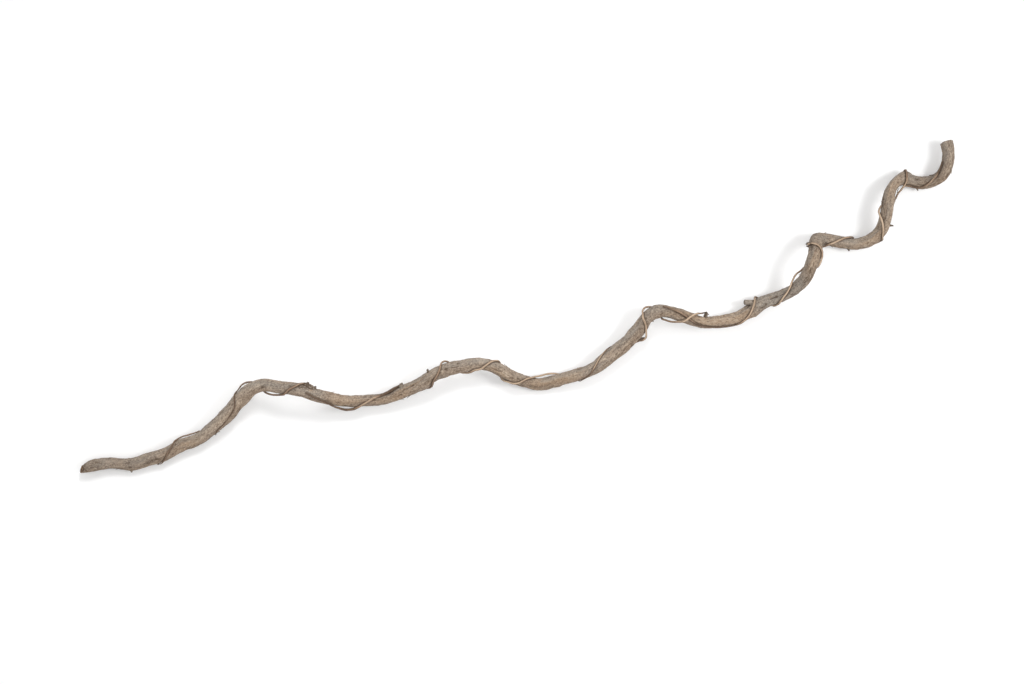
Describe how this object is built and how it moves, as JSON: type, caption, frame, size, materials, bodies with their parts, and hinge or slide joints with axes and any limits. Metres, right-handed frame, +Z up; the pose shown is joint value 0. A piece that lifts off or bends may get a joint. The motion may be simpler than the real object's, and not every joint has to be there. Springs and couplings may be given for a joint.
{
  "type": "liana stem",
  "caption": "Long weathered woody liana stem that winds like a corkscrew, with thin vines twined round it; a cut length that lies on the low bends of its stem.",
  "frame": {"origin": "middle of the footprint, on the plane that the liana lies on", "axes": "+X from the cut butt to the cut tip, +Z up from the plane it lies on, +Y the side that the first crest and both ends swing to"},
  "size_m": [2.0195, 0.2595, 0.1064],
  "materials": {
    "bark": "weathered grey-brown bark, dry and rough, with twisted furrows",
    "vine_bark": "thin tan-brown bark of a young shoot, dry and slightly smoother"
  },
  "bodies": {
    "root": {"stem": "bark", "vine_butt": "vine_bark", "vine_dip": "vine_bark", "vine_middle": "vine_bark", "vine_tip": "vine_bark"}
  },
  "joints": []
}
